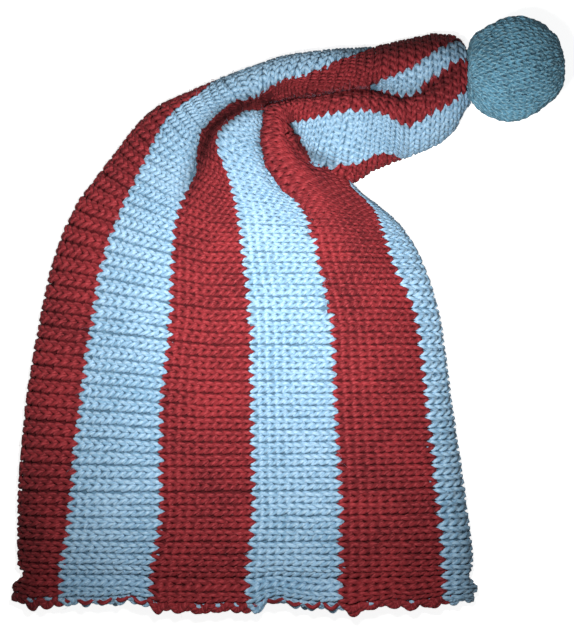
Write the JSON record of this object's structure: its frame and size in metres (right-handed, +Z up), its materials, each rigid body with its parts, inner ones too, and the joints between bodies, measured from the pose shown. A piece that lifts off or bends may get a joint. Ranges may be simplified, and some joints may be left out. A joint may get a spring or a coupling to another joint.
{
  "type": "knitted nightcap",
  "caption": "Long knitted nightcap in red and blue stripes, lying flat with its tail folded over and ending in a stuffed ball.",
  "frame": {"origin": "bottom centre of the whole cap's box, on the surface it lies on", "axes": "+Z up from the surface, +Y from the open mouth towards the fold of the tail, +X towards the ball's side"},
  "size_m": [0.2906, 0.3094, 0.0498],
  "materials": {
    "red_yarn": "matte",
    "blue_yarn": "matte",
    "ball_yarn": "matte"
  },
  "bodies": {
    "root": {"red_stripe_1": "red_yarn", "blue_stripe_1": "blue_yarn", "red_stripe_2": "red_yarn", "blue_stripe_2": "blue_yarn", "red_stripe_3": "red_yarn", "blue_stripe_3": "blue_yarn", "red_stripe_4": "red_yarn", "blue_stripe_4": "blue_yarn", "red_stripe_5": "red_yarn", "blue_stripe_5": "blue_yarn", "stuffed_ball": "ball_yarn"}
  },
  "joints": []
}
